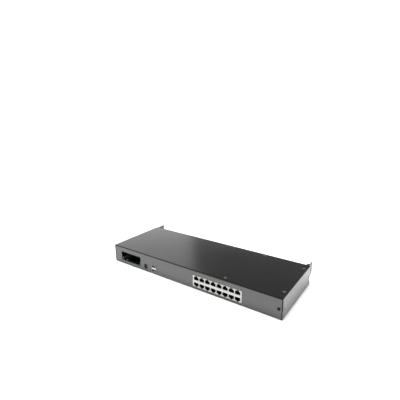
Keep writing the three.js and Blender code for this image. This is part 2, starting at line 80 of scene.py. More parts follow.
def add_camera():
    camera = bpy.data.objects.new("camera", bpy.data.cameras.new("camera"))
    scene.collection.objects.link(camera)
    turn = Matrix.Rotation(CAMERA_TURN, 4, "Z")
    tilt = Matrix.Rotation(math.pi / 2 - CAMERA_DOWN, 4, "X")
    lean = Matrix.Rotation(CAMERA_LEAN, 4, "Z")
    camera.matrix_world = Matrix.Translation(CAMERA_PLACE) @ turn @ tilt @ lean
    camera.data.lens = CAMERA_LENS
    camera.data.clip_start = CAMERA_NEAR
    scene.camera = camera
    print("camera at", [round(v, 3) for v in CAMERA_PLACE])


add_camera()

# %% [markdown]
# ## One helper for every node
#
# Shaders and Geometry Nodes are both graphs. One function adds any node: its type, then its
# settings, then the values or links of its sockets. A socket is named by its label, or by its
# number where several share a label. A setting can switch sockets off, so only the enabled ones
# are looked at.


# %% Node helper
def connect(tree, slot, value):
    for item in value if isinstance(value, list) else [value]:
        if isinstance(item, Signal):
            tree.links.new(item.socket, slot)
        else:
            slot.default_value = item


def add_node(tree, kind, settings=None, sockets=None, output=0):
    node = tree.nodes.new(kind)
    for key, value in (settings or {}).items():
        setattr(node, key, value)
    for key, value in (sockets or {}).items():
        by_name = (slot for slot in node.inputs if slot.name == key and slot.enabled)
        connect(tree, node.inputs[key] if isinstance(key, int) else next(by_name), value)
    if isinstance(output, str):
        return Signal(tree, node.outputs[output])
    return Signal(tree, [slot for slot in node.outputs if slot.enabled][output])


# %% [markdown]
# ## Maths on sockets as plain Python
#
# Wiring each Math node by hand hides the idea behind a page of links, so a small class wraps a
# socket and overloads the operators. `grain * 0.2 + 0.4` then adds two Math nodes. Colours
# never pass through a Math node, which would turn them grey: they go through Mix.


# %% Socket class
class Signal:
    """An output socket that can be used in a Python expression."""

    def __init__(self, tree, socket):
        self.tree = tree
        self.socket = socket

    def _math(self, operation, first, second):
        settings = {"operation": operation}
        return add_node(self.tree, "ShaderNodeMath", settings, {0: first, 1: second})

    def __add__(self, other):
        return self._math("ADD", self, other)

    def __sub__(self, other):
        return self._math("SUBTRACT", self, other)

    def __rsub__(self, other):
        return self._math("SUBTRACT", other, self)

    def __mul__(self, other):
        return self._math("MULTIPLY", self, other)

    def either(self, other):
        """The larger of two masks."""
        return self._math("MAXIMUM", self, other)

    def between(self, low, high):
        """0 below low, 1 above high, and a smooth step in between."""
        settings = {"interpolation_type": "SMOOTHSTEP"}
        sockets = {"Value": self, "From Min": low, "From Max": high}
        return add_node(self.tree, "ShaderNodeMapRange", settings, sockets)


# %% [markdown]
# ## A material builder
#
# Each finish is one Principled shader. What is the same all over is set on the shader itself.
# What varies comes from noises on Object coordinates, which stay put on the piece in every
# view.


# %% Finish class
class Finish:
    """A material with one Principled shader and its patterns."""

    def __init__(self, name, **fixed):
        self.material = bpy.data.materials.new(name)
        self.material.use_nodes = True
        self.tree = self.material.node_tree
        self.shader = self.tree.nodes["Principled BSDF"]
        for key, value in fixed.items():
            self.set(key.replace("_", " "), value)

    def set(self, label, value):
        connect(self.tree, self.shader.inputs[label], value)

    def node(self, kind, settings=None, sockets=None, output=0):
        return add_node(self.tree, "ShaderNode" + kind, settings, sockets, output)

    def place(self, stretch=(1, 1, 1), turn=0.0):
        """Where a point is on the object, in metres."""
        spot = self.node("TexCoord", output="Object")
        sockets = {"Vector": spot, "Rotation": (0, 0, turn), "Scale": stretch}
        return self.node("Mapping", sockets=sockets)

    def noise(self, scale, detail=2.0, stretch=(1, 1, 1)):
        sockets = {"Vector": self.place(stretch), "Scale": scale, "Detail": detail}
        return self.node("TexNoise", sockets=sockets)

    def mix(self, factor, low, high):
        return self.node("Mix", {"data_type": "RGBA"}, {"Factor": factor, "A": low, "B": high})

    def relief(self, height, depth):
        """Lets a height pattern, depth metres deep, tilt the surface."""
        self.set("Normal", self.node("Bump", sockets={"Height": height, "Distance": depth}))
        return self.material


def tint(red, green, blue, part=1.0):
    return (red * part, green * part, blue * part, 1)


# %% [markdown]
# ## Powder coat
#
# The steel is sprayed with dry paint powder and baked. It melts into a tough satin skin with a
# fine orange-peel texture. Plain dark colour would look like plastic, so three noises are used:
# one for the peel, one for the grain inside it, and a very wide one that varies the sheen a
# little, as uneven film thickness does. A few specks of dust are duller than the paint.


# %% Powder coat
# noise scales, in waves per metre
FILM_SCALE = 9
PEEL_SCALE = 900
GRAIN_SCALE = 3800
DUST_SCALE = 2100
DUST_PEAKS = (0.70, 0.76)
DUST_TONE = tint(0.05, 0.05, 0.05)
THIN_FILM = 0.8
PEEL_DEPTH = 0.006 * MM
# how much each pattern adds to the roughness
FILM_ROUGH = 0.03
GRAIN_ROUGH = 0.04
DUST_ROUGH = 0.15


def powder_coat(name, tone, sheen, gloss):
    paint = Finish(name, IOR=gloss)
    drift = paint.noise(FILM_SCALE)
    peel = paint.noise(PEEL_SCALE, 3)
    grain = paint.noise(GRAIN_SCALE)
    dust = paint.noise(DUST_SCALE, 1).between(*DUST_PEAKS)
    film = paint.mix(drift, tint(*tone, THIN_FILM), tint(*tone))
    paint.set("Base Color", paint.mix(dust * 0.5, film, DUST_TONE))
    # a noise averages a half, so half of what film and grain add is taken off first
    smooth = sheen - (FILM_ROUGH + GRAIN_ROUGH) / 2
    rough = drift * FILM_ROUGH + grain * GRAIN_ROUGH + dust * DUST_ROUGH
    paint.set("Roughness", rough + smooth)
    return paint.relief(peel * 0.7 + grain * 0.3, PEEL_DEPTH)


CASE_PAINT = powder_coat("case_powder_coat", (0.0100, 0.0100, 0.0104), 0.20, 1.8)
BRACKET_PAINT = powder_coat("bracket_powder_coat", (0.010, 0.010, 0.0105), 0.34, 1.6)
# a dull, darker paint for the cover's cut ends: painted shade for the seam between cover and tray
EDGE_PAINTED_SHADE = powder_coat("paint_on_cut_edge", (0.004, 0.004, 0.0042), 0.7, 1.25)
print("paints:", CASE_PAINT.name, BRACKET_PAINT.name, EDGE_PAINTED_SHADE.name)

# %% [markdown]
# ## Bare and plated metals
#
# Socket shields are stamped from thin steel with a bright tin or nickel skin. The sheet was
# rolled, so it keeps faint lines along one direction. Noise that is stretched along one axis
# gives those lines, both in the roughness and in a very shallow relief. The same recipe makes
# zinc, gold and screws. A black screw is only partly bare metal, because its plating is a dull,
# dark salt of it.


# %% Metals
CLOUD_SCALE = 60
DULL_PLATE = 0.86
LINE_DEPTH = 0.004 * MM
LINE_ROUGH = 0.14
CLOUD_ROUGH = 0.05
PLATE_SMOOTH = 0.1


def plated(name, tone, sheen, stretch=(1, 1, 1), lines=900, bare=1.0):
    metal = Finish(name, Metallic=bare)
    rolled = metal.noise(lines, 2, stretch)
    drift = metal.noise(CLOUD_SCALE)
    metal.set("Base Color", metal.mix(drift, tint(*tone, DULL_PLATE), tint(*tone)))
    rough = rolled * LINE_ROUGH + drift * CLOUD_ROUGH
    metal.set("Roughness", rough + (sheen - PLATE_SMOOTH))
    return metal.relief(rolled, LINE_DEPTH)


TINNED = plated("tinned_sheet", (0.42, 0.42, 0.41), 0.3, (0.04, 1, 1), lines=1500)
ZINC = plated("zinc_plate", (0.66, 0.67, 0.69), 0.32, bare=0.7)
GOLD = plated("gold_flash", (0.90, 0.66, 0.28), 0.25)
CAN = plated("drawn_can", (0.72, 0.72, 0.73), 0.28, (1, 1, 0.05))
ANODISED = plated("black_anodised", (0.045, 0.045, 0.05), 0.42, (1, 0.05, 1))
BLACK_SCREW = plated("black_plated_screw", (0.085, 0.085, 0.088), 0.44, bare=0.3)
# the port-wall screw is given a darker black than the other black screws
DARKEST_SCREW = plated("black_oxide_screw", (0.020, 0.020, 0.022), 0.5, bare=0.6)
metals = (TINNED, ZINC, GOLD, CAN, ANODISED, BLACK_SCREW, DARKEST_SCREW)
print("metals:", [metal.name for metal in metals])

# %% [markdown]
# ## Moulded plastics
#
# Socket housings, chips and rails are black plastic, but not the same black. Glass-filled
# housings are dull and slightly mottled by the fibres. Chip mouldings have a fine sand-blasted
# skin. The USB blades are a pale grade of the same plastic.


# %% Plastics
PLASTIC_IOR = 1.45
DARK_MOTTLE = 0.7
MOTTLE_ROUGH = 0.12


def moulding(name, tone, sheen, grain_size, depth):
    plastic = Finish(name, IOR=PLASTIC_IOR)
    mottle = plastic.noise(1 / grain_size, 3)
    fine = plastic.noise(4 / grain_size)
    plastic.set("Base Color", plastic.mix(mottle, tint(*tone, DARK_MOTTLE), tint(*tone)))
    plastic.set("Roughness", mottle * MOTTLE_ROUGH + (sheen - MOTTLE_ROUGH / 2))
    return plastic.relief(fine, depth)


HOUSING = moulding("black_housing", (0.010, 0.010, 0.010), 0.6, 1.2 * MM, 0.008 * MM)
RAIL = moulding("black_rail", (0.070, 0.070, 0.071), 0.5, 1.0 * MM, 0.010 * MM)
BLADE = moulding("pale_usb_blade", (0.240, 0.240, 0.235), 0.45, 1.0 * MM, 0.006 * MM)
CHIP = moulding("chip_moulding", (0.020, 0.020, 0.022), 0.48, 0.4 * MM, 0.006 * MM)
INK = moulding("printed_numbers", (0.30, 0.30, 0.30), 0.5, 0.8 * MM, 0.002 * MM)
CERAMIC = moulding("ceramic_parts", (0.16, 0.11, 0.07), 0.4, 0.5 * MM, 0.003 * MM)
print("plastics:", [plastic.name for plastic in (HOUSING, RAIL, BLADE, CHIP, INK, CERAMIC)])

# %% [markdown]
# ## Circuit board
#
# A board is woven glass and resin under a dark green lacquer. Copper tracks under the lacquer
# show as slightly lighter, slightly raised lines. Two brick textures, turned a quarter apart,
# make straight tracks in two directions without drawing them one by one.


# %% Circuit board
BRICKS = {"offset": 0.37, "squash": 1.6}
TRACKS_ALONG = {"turn": 0.0, "scale": 150, "width": 0.035}
TRACKS_ACROSS = {"turn": math.pi / 2, "scale": 110, "width": 0.03}
BARE_LACQUER = tint(0.004, 0.011, 0.007)
OVER_COPPER = tint(0.010, 0.030, 0.016)
COPPER_THICK = 0.03 * MM
LACQUER_ROUGH = 0.42
COPPER_SMOOTH = 0.08


def tracks(board, turn, scale, width):
    sockets = {"Vector": board.place(turn=turn), "Scale": scale, "Mortar Size": width}
    return board.node("TexBrick", BRICKS, sockets, "Fac")


def solder_mask(name):
    board = Finish(name, IOR=1.5, Coat_Weight=0.4, Coat_Roughness=0.15)
    copper = tracks(board, **TRACKS_ALONG).either(tracks(board, **TRACKS_ACROSS))
    board.set("Base Color", board.mix(copper, BARE_LACQUER, OVER_COPPER))
    board.set("Roughness", LACQUER_ROUGH - copper * COPPER_SMOOTH)
    return board.relief(copper, COPPER_THICK)


BOARD = solder_mask("green_solder_mask")
print("board:", BOARD.name)

# %% [markdown]
# ## Turning CAD solids into finished pieces
#
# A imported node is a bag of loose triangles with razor-sharp edges. Real folded sheet has a
# small radius on every edge, and that radius is what catches the light. So each visible node is
# copied, its doubled points are merged, flat triangles are dissolved into whole faces, and a
# Bevel modifier rounds what is left. A Weighted Normal modifier then keeps the big faces flat,
# so only the rounded edges shade as curves.


# %% Piece helpers
WELD = 0.002 * MM
FLAT = math.radians(0.5)


def bake(piece):
    """Replaces a piece's mesh by what its modifiers make of it."""
    bpy.context.view_layer.update()
    seen = piece.evaluated_get(bpy.context.evaluated_depsgraph_get())
    mesh = bpy.data.meshes.new_from_object(seen)
    piece.modifiers.clear()
    old = piece.data
    piece.data = mesh
    bpy.data.meshes.remove(old)
    mesh.name = piece.name
    return piece


def new_piece(name, data):
    piece = bpy.data.objects.new(name, data)
    scene.collection.objects.link(piece)
    return piece


def merged_copy(name, node):
    """A copy of a CAD node as one clean skin of whole faces."""
    mesh = frame["nodes"][node].data.copy()
    mesh.name = name
    if "custom_normal" in mesh.attributes:
        mesh.attributes.remove(mesh.attributes["custom_normal"])
    work = bmesh.new()
    work.from_mesh(mesh)
    bmesh.ops.remove_doubles(work, verts=work.verts, dist=WELD)
    bmesh.ops.dissolve_limit(work, angle_limit=FLAT, verts=work.verts, edges=work.edges)
    work.to_mesh(mesh)
    work.free()
    return new_piece(name, mesh)


def rounded(piece, radius, angle=50, steps=2):
    """Rounds every edge sharper than the angle."""
    bevel = piece.modifiers.new("edges", "BEVEL")
    bevel.width = radius
    bevel.segments = steps
    bevel.limit_method = "ANGLE"
    bevel.angle_limit = math.radians(angle)
    weighted = piece.modifiers.new("shading", "WEIGHTED_NORMAL")
    weighted.keep_sharp = True
    piece.data.shade_smooth()
    return bake(piece)


def finish_piece(piece, material, slot, *nodes):
    """The last step of each piece: its material, its body and the nodes it stands for; slot is not
    used.
    """
    if material:
        piece.data.materials.clear()
        piece.data.materials.append(material)
    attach(piece, "root")
    if nodes:
        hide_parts(*nodes)
    print(piece.name, len(piece.data.polygons), "faces")


# %% [markdown]
# ## The tray
#
# The tray is one folded sheet: the floor, four walls and an inward rim. Where steel is folded,
# its outside gets a radius a little larger than the sheet is thick. That fold is what makes the
# dark outline round the port face, because it turns away under the cover's edge. The twelve
# outer folds are bevelled first, wide and in four steps, and the modifier then breaks the cut
# edges.

# %% Tray
CUT_RADIUS = 0.22 * MM
FOLD_RADIUS = 1.4 * MM
FOLD_STEPS = 4
TRAY_EDGE_ANGLE = 60
ON_WALL = 0.01 * MM


def outer_folds(work, low, high):
    """The edges along which two outer faces of a box-shaped shell meet."""
    folds = []
    for edge in work.edges:
        walls = 0
        for axis in range(3):
            for wall in (low[axis], high[axis]):
                walls += all(abs(vert.co[axis] - wall) < ON_WALL for vert in edge.verts)
        if walls == 2:
            folds.append(edge)
    return folds


def make_tray():
    tray = merged_copy("case_tray", "base_tray")
    work = bmesh.new()
    work.from_mesh(tray.data)
    folds = outer_folds(work, *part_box("base_tray"))
    print("outer folds:", len(folds))
    sizes = {"offset": FOLD_RADIUS, "segments": FOLD_STEPS, "profile": 0.5}
    bmesh.ops.bevel(work, geom=folds, affect="EDGES", clamp_overlap=False, **sizes)
    work.to_mesh(tray.data)
    work.free()
    return rounded(tray, CUT_RADIUS, TRAY_EDGE_ANGLE)


finish_piece(make_tray(), CASE_PAINT, "case_paint", "base_tray")

# %% [markdown]
# ## The cover
#
# The cover wraps the top and both sides. Its front and rear ends are cut, not folded. Those
# faces get a dull, darker paint of their own, found by where they face and where they lie. That
# dark paint is painted shade: it stands in for the shadow in the seam between cover and tray.


# %% Cover
END_REACH = 0.15 * MM
END_FACING = 0.4


def make_cover():
    cover = rounded(merged_copy("case_cover", "top_cover"), CUT_RADIUS)
    cover.data.materials.clear()
    cover.data.materials.append(CASE_PAINT)
    cover.data.materials.append(EDGE_PAINTED_SHADE)
    ends = [corner.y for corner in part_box("top_cover")]
    # the cut end faces take the darker paint, which is painted shade for the seam under the cover
    for face in cover.data.polygons:
        at_end = min(abs(face.center.y - end) for end in ends) < END_REACH
        face.material_index = int(at_end and abs(face.normal.y) > END_FACING)
    print("cut-edge faces:", sum(face.material_index for face in cover.data.polygons))
    return cover


finish_piece(make_cover(), None, "case_paint", "top_cover")

# %% [markdown]
# ## Lugs, sockets and rails
#
# These keep their CAD shape and only need their edges broken. Thin stampings and small
# mouldings are crisper than the case, so each kind has its own radius. A loop makes the pieces
# from a short list.

# %% Pieces that only need broken edges
COLUMNS = range(1, 9)
# name, CAD node, edge radius in millimetres, finish, slot
SIMPLE_PIECES = [
    ("left_lug", "left_docking_lug", 0.2, BRACKET_PAINT, "bracket_paint"),
    ("right_lug", "right_docking_lug", 0.2, BRACKET_PAINT, "bracket_paint"),
    ("socket_shield", "port_shield", 0.08, TINNED, "tinned_steel"),
    ("usb_can", "usb_shell", 0.18, TINNED, "tinned_steel"),
    ("usb_blades", "usb_tongues", 0.12, BLADE, "jack_plastic"),
    ("dc_body", "dc_jack_body", 0.2, HOUSING, "jack_plastic"),
    ("dc_pin", "dc_jack_pin", 0.1, TINNED, "tinned_steel"),
    ("left_rail", "left_guide_rail", 0.3, RAIL, "jack_plastic"),
    ("right_rail", "right_guide_rail", 0.3, RAIL, "jack_plastic"),
    ("card_socket", "bay_socket", 0.25, HOUSING, "jack_plastic"),
    ("dock_can", "dock_shell", 0.15, TINNED, "tinned_steel"),
    ("dock_block", "dock_insulator", 0.2, HOUSING, "jack_plastic"),
    ("left_jackscrew", "dock_jackscrew_left", 0.15, ZINC, "zinc_steel"),
    ("right_jackscrew", "dock_jackscrew_right", 0.15, ZINC, "zinc_steel"),
]
SIMPLE_PIECES += [
    (f"jack_housing_{number}", f"port_pair_{number}", 0.12, HOUSING, "jack_plastic")
    for number in COLUMNS
]

for name, node, radius, material, slot in SIMPLE_PIECES:
    finish_piece(rounded(merged_copy(name, node), radius * MM), material, slot, node)

# %% [markdown]
# ## A Geometry Nodes builder
#
# Screws, contacts and small parts repeat many times. Each kind is made once by a node tree and
# placed on points. The points are a tiny mesh whose `facing` attribute says which way each copy
# looks. The tree ends by making the copies real and giving them their material.


# %% Geometry Nodes builder
class Graph:
    """A Geometry Nodes tree with named sizes."""

    def __init__(self, name, **sizes):
        self.tree = bpy.data.node_groups.new(name, "GeometryNodeTree")
        self.tree.is_modifier = True
        self.values = {key.replace("_", " "): value for key, value in sizes.items()}
        face = self.tree.interface
        face.new_socket("Geometry", in_out="INPUT", socket_type="NodeSocketGeometry")
        for key, value in self.values.items():
            kind = "NodeSocketInt" if isinstance(value, int) else "NodeSocketFloat"
            face.new_socket(key, in_out="INPUT", socket_type=kind)
        face.new_socket("Geometry", in_out="OUTPUT", socket_type="NodeSocketGeometry")
        self.start = self.tree.nodes.new("NodeGroupInput")
        self.end = self.tree.nodes.new("NodeGroupOutput")

    def size(self, name):
        return Signal(self.tree, self.start.outputs[name])

    def node(self, kind, settings=None, output=0, **sockets):
        sockets = {key.replace("_", " "): value for key, value in sockets.items()}
        return add_node(self.tree, kind, settings, sockets, output)

    def shape(self, kind, settings=None, output=0, **sockets):
        return self.node("GeometryNode" + kind, settings, output, **sockets)

    def vector(self, x=0.0, y=0.0, z=0.0):
        return self.node("ShaderNodeCombineXYZ", X=x, Y=y, Z=z)

    def move(self, shape, x=0.0, y=0.0, z=0.0, turn=(0, 0, 0), scale=(1, 1, 1)):
        place = self.vector(x, y, z)
        moves = {"Translation": place, "Rotation": turn, "Scale": scale}
        return self.shape("Transform", Geometry=shape, **moves)

    def block(self, x, y, z):
        return self.shape("MeshCube", Size=self.vector(x, y, z))

    def painted(self, shape, material):
        return self.shape("SetMaterial", Geometry=shape, Material=material)

    def real(self, copies):
        return self.shape("RealizeInstances", Geometry=copies)

    def row(self, shape, count, step):
        """Copies of a shape along X, centred on the origin."""
        start = self.vector((count - 1) * step * -0.5)
        line = self.shape("MeshLine", Count=count, Start_Location=start, Offset=self.vector(step))
        return self.real(self.shape("InstanceOnPoints", Points=line, Instance=shape))

    def on_points(self, shape):
        """One copy on each point of the object, its Z axis along the point's facing."""
        named = {"data_type": "FLOAT_VECTOR"}
        facing = self.shape("InputNamedAttribute", named, Name="facing")
        turn = self.node("FunctionNodeAlignRotationToVector", {"axis": "Z"}, Vector=facing)
        points = self.size("Geometry")
        return self.shape("InstanceOnPoints", Points=points, Instance=shape, Rotation=turn)

    def finish(self, copies, material=None):
        made = self.real(copies)
        if material:
            made = self.painted(made, material)
        self.tree.links.new(made.socket, self.end.inputs[0])
        return self


def grown(name, graph, places, facing=(0, 0, 1)):
    """A piece made by a node tree on a list of places, with its faces turned outwards."""
    mesh = bpy.data.meshes.new(name)
    mesh.from_pydata([tuple(place) for place in places], [], [])
    ways = mesh.attributes.new("facing", "FLOAT_VECTOR", "POINT")
    for item in ways.data:
        item.vector = facing
    piece = new_piece(name, mesh)
    modifier = piece.modifiers.new("graph", "NODES")
    modifier.node_group = graph.tree
    for socket in graph.tree.interface.items_tree:
        if socket.in_out == "INPUT" and socket.name in graph.values:
            modifier[socket.identifier] = graph.values[socket.name]
    bake(piece)
    work = bmesh.new()
    work.from_mesh(piece.data)
    bmesh.ops.recalc_face_normals(work, faces=work.faces)
    work.to_mesh(piece.data)
    work.free()
    return piece


# %% [markdown]
# ## Screws
#
# A countersunk screw is a cone whose wide face lies flush with the sheet. A pan head is a short
# drum with a domed top. Both come from one tree: a wedge, a rim, a dome and a shank, joined by
# a boolean, less a cross recess that narrows downwards. Nobody lines up the crosses when
# driving screws, so each copy is spun by a random angle with a fixed seed.

# %% Screw graph
SCREW_SEED = 7
SCREW_SIDES = 32
ROOT_TWO = math.sqrt(2)
RECESS_TAPER = 0.6
RECESS_OVERSHOOT = 1.25
SHANK_TAPER = 0.85


def cross_recess(graph, top):
    """Two crossed slots that narrow downwards from a height."""
    arm, slot, depth = (graph.size(name) for name in ("Recess", "Slot", "Recess Depth"))
    # a four-sided cone with this radius has sides of one metre, so a scale is its true size
    radii = {"Radius_Top": 1 / ROOT_TWO, "Radius_Bottom": RECESS_TAPER / ROOT_TWO}
    cone = graph.shape("MeshCone", Vertices=4, Depth=1.0, **radii)
    square = graph.move(cone, turn=(0, 0, math.pi / 4))
    return [
        graph.move(square, z=top - depth, scale=graph.vector(x, y, depth * RECESS_OVERSHOOT))
        for x, y in ((arm, slot), (slot, arm))
    ]


def screw_graph(name, material, sizes):
    graph = Graph(name, **sizes)
    head, shank, length = (graph.size(name) for name in ("Head", "Shank", "Length"))
    wedge, rim, dome = (graph.size(name) for name in ("Wedge", "Rim", "Dome"))

    def cone(top, bottom, depth):
        sizes = {"Radius_Top": top, "Radius_Bottom": bottom, "Depth": depth}
        return graph.shape("MeshCone", Vertices=SCREW_SIDES, **sizes)

    solids = [
        graph.move(cone(head, shank, wedge), z=wedge * -1),
        cone(head, head, rim),
        graph.move(cone(graph.size("Crown"), head, dome), z=rim),
        graph.move(cone(shank, shank * SHANK_TAPER, length), z=length * -1),
    ]
    union = {"operation": "UNION", "solver": "EXACT"}
    difference = {"operation": "DIFFERENCE", "solver": "EXACT"}
    solid = graph.shape("MeshBoolean", union, Mesh=solids)
    arms = cross_recess(graph, rim + dome)
    cut = graph.shape("MeshBoolean", difference, Mesh_1=solid, Mesh_2=arms)
    spin = graph.node("FunctionNodeRandomValue", Min=0.0, Max=math.pi / 2, Seed=SCREW_SEED)
    turn = {"Rotation": graph.vector(z=spin), "Local_Space": True}
    spun = graph.shape("RotateInstances", Instances=graph.on_points(cut), **turn)
    return graph.finish(spun, material)


# %% [markdown]
# The places of the screws come from the boxes of the CAD screws that they stand for: the middle
# of the box, on its outer face, less the height of the head.

# %% Screws
FLUSH = {
    "Head": 3.1 * MM,
    "Crown": 2.95 * MM,
    "Wedge": 1.6 * MM,
    "Rim": 0.1 * MM,
    "Dome": 0.12 * MM,
    "Shank": 1.45 * MM,
    "Length": 5.5 * MM,
    "Recess": 3.4 * MM,
    "Slot": 0.8 * MM,
    "Recess_Depth": 1.2 * MM,
}
PAN = {
    **FLUSH,
    "Head": 2.8 * MM,
    "Crown": 1.9 * MM,
    "Wedge": 0.3 * MM,
    "Rim": 1.0 * MM,
    "Dome": 0.9 * MM,
    "Shank": 1.2 * MM,
    "Length": 4.8 * MM,
}
FLUSH_SUNK = 0.03 * MM
SCREW_EDGE = 0.05 * MM
SCREW_EDGE_ANGLE = 35
AXES = {"x": Vector((1, 0, 0)), "y": Vector((0, 1, 0)), "z": Vector((0, 0, 1))}


def face_point(node, facing):
    """The middle of a node's box, moved to the face that looks along an axis."""
    low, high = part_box(node)
    half = (high - low) / 2
    return low + half + Vector(reach * way for reach, way in zip(half, facing))


def make_screws(name, nodes, facing, sizes, sunk, material, slot):
    sink = sizes["Rim"] + sizes["Dome"] + sunk
    places = [face_point(node, facing) - facing * sink for node in nodes]
    screws = grown(name, screw_graph(name + "_graph", material, sizes), places, facing)
    finish_piece(rounded(screws, SCREW_EDGE, SCREW_EDGE_ANGLE), material, slot, *nodes)


cover_nodes = [f"cover_screw_{number}" for number in range(1, 6)]
left_nodes = ["left_lug_screw_upper", "left_lug_screw_lower"]
right_nodes = ["right_lug_screw_upper", "right_lug_screw_lower", "corner_side_screw"]
wall_nodes = ["corner_rear_screw"]
board_nodes = [f"board_screw_{number}" for number in range(1, 7)]
flush = (FLUSH, FLUSH_SUNK, BLACK_SCREW, "black_screw")
make_screws("cover_screws", cover_nodes, AXES["z"], *flush)
make_screws("left_side_screws", left_nodes, -AXES["x"], *flush)
make_screws("right_side_screws", right_nodes, AXES["x"], *flush)
make_screws("port_wall_screw", wall_nodes, -AXES["y"], PAN, 0.0, DARKEST_SCREW, "black_screw")
make_screws("board_screws", board_nodes, AXES["z"], PAN, 0.0, ZINC, "zinc_steel")

# %% [markdown]
# ## Sprung contacts in the network sockets
#
# Each jack has eight gold-flashed wires that rise from the mouth's flat edge towards the back
# and press on the plug. Only a glint of them shows, but it is what makes a socket look like a
# socket. One wire is a curve with a round section, eight of them make a comb, and a comb stands
# in each jack. The sixteen openings in the CAD record say where the jacks are. The lower row is
# the upper row turned over.

# %% Jack contacts
WIRES = 8
WIRE_SIDES = 6
WIRE_BENDS = 6
WIRE_RADIUS = 0.2 * MM
WIRE_STEP = 1.02 * MM
SILL_GAP = 0.3 * MM
WIRE_START = (0, 3.4 * MM, 0.25 * MM)
WIRE_BEND = (0, 7.5 * MM, 0.75 * MM)
WIRE_END = (0, 12.6 * MM, 4.6 * MM)


def contact_graph(name, flip):
    graph = Graph(name, Wires=WIRES, Step=WIRE_STEP, Wire=WIRE_RADIUS, Flip=flip)
    bend = {"Start": WIRE_START, "Middle": WIRE_BEND, "End": WIRE_END, "Resolution": WIRE_BENDS}
    path = graph.shape("CurveQuadraticBezier", **bend)
    round_wire = {"Resolution": WIRE_SIDES, "Radius": graph.size("Wire")}
    section = graph.shape("CurvePrimitiveCircle", **round_wire)
    wire = graph.shape("CurveToMesh", Curve=path, Profile_Curve=section, Fill_Caps=True)
    comb = graph.row(wire, graph.size("Wires"), graph.size("Step"))
    turned = graph.move(comb, turn=graph.vector(y=graph.size("Flip")))
    return graph.finish(graph.on_points(turned), GOLD)


def jack_places(row, side):
    """The middle of each jack's flat edge, at its mouth."""
    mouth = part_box("port_pair_1")[0].y
    places = []
    for opening in frame["record"]["physics"]["openings"]:
        if opening["name"].startswith(f"network_socket_{row}"):
            low, high = opening["box_m"]
            edge = low[2] - SILL_GAP if side > 0 else high[2] + SILL_GAP
            places.append(((low[0] + high[0]) / 2, mouth, edge))
    return places


for row, side, flip in (("upper", 1, 0.0), ("lower", -1, math.pi)):
    graph = contact_graph(f"{row}_contact_graph", flip)
    wires = grown(f"jack_contacts_{row}", graph, jack_places(row, side))
    wires.data.shade_smooth()
    finish_piece(wires, GOLD, "tinned_steel")

# %% [markdown]
# ## Flat contacts
#
# The USB blades carry four flat strips each, on their undersides, and the card socket two long
# rows of them. They are rows of a small block, so one graph with a count and a step makes both.

# %% Flat contacts
BLADE_THICK = 1.8 * MM
BLADE_RISE = 9.7 * MM
USB_STRIPS = 4
USB_STRIP = {"Step": 2.3 * MM, "Width": 1.0 * MM, "Length": 7.0 * MM, "Thickness": 0.12 * MM}
USB_STRIP_BACK = 3.8 * MM
CARD_STRIPS = 38
CARD_STRIP = {"Step": 1.2 * MM, "Width": 0.6 * MM, "Length": 5.0 * MM, "Thickness": 0.2 * MM}
CARD_STRIP_BACK = 3.2 * MM
CARD_SLOT_DROP = 4.4 * MM
CARD_SLOT_HALF = 0.9 * MM


def strip_graph(name, count, strip):
    graph = Graph(name, Strips=count, **strip)
    block = graph.block(graph.size("Width"), graph.size("Length"), graph.size("Thickness"))
    row = graph.row(block, graph.size("Strips"), graph.size("Step"))
    return graph.finish(graph.on_points(row), GOLD)


def usb_strips():
    low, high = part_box("usb_tongues")
    upper = high.z - BLADE_THICK
    across, along = (low.x + high.x) / 2, low.y + USB_STRIP_BACK
    places = [(across, along, height) for height in (upper - BLADE_RISE, upper)]
    return grown("usb_strips", strip_graph("usb_strip_graph", USB_STRIPS, USB_STRIP), places)


def card_strips():
    low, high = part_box("bay_socket")
    slot = high.z - CARD_SLOT_DROP
    across, along = (low.x + high.x) / 2, low.y + CARD_STRIP_BACK
    places = [(across, along, slot + side * CARD_SLOT_HALF) for side in (-1, 1)]
    return grown("card_strips", strip_graph("card_strip_graph", CARD_STRIPS, CARD_STRIP), places)


finish_piece(usb_strips(), GOLD, "tinned_steel")
finish_piece(card_strips(), GOLD, "tinned_steel")

# %% [markdown]
# ## Rings
#
# The D connector has 37 gold sleeves in two staggered rows, and the DC inlet a raised rim round
# its hole. Both are rings: a circle swept along a circle. The same graph makes them, with other
# sizes.

# %% Rings
SLEEVE = {"Step": 2.76 * MM, "Radius": 0.62 * MM, "Wall": 0.16 * MM}
DC_RIM = {"Step": 1.0 * MM, "Radius": 3.85 * MM, "Wall": 0.6 * MM}
ROW_LIFT = 1.42 * MM
SLEEVE_ROWS = (("upper", 19, ROW_LIFT), ("lower", 18, -ROW_LIFT))
SLEEVE_STEPS = 12
DC_RIM_STEPS = 40
WALL_STEPS = 8


def ring_graph(name, count, material, steps, ring):
    graph = Graph(name, Rings=count, Steps=steps, **ring)
    around = {"Resolution": graph.size("Steps"), "Radius": graph.size("Radius")}
    path = graph.shape("CurvePrimitiveCircle", **around)
    section = graph.shape("CurvePrimitiveCircle", Resolution=WALL_STEPS, Radius=graph.size("Wall"))
    loop = graph.shape("CurveToMesh", Curve=path, Profile_Curve=section)
    upright = graph.move(loop, turn=(math.pi / 2, 0, 0))
    row = graph.row(upright, graph.size("Rings"), graph.size("Step"))
    return graph.finish(graph.on_points(row), material)


dock_face = face_point("dock_insulator", AXES["y"])
for name, count, lift in SLEEVE_ROWS:
    graph = ring_graph(f"dock_sleeve_graph_{name}", count, GOLD, SLEEVE_STEPS, SLEEVE)
    sleeves = grown(f"dock_sleeves_{name}", graph, [dock_face + AXES["z"] * lift])
    sleeves.data.shade_smooth()
    finish_piece(sleeves, GOLD, "tinned_steel")

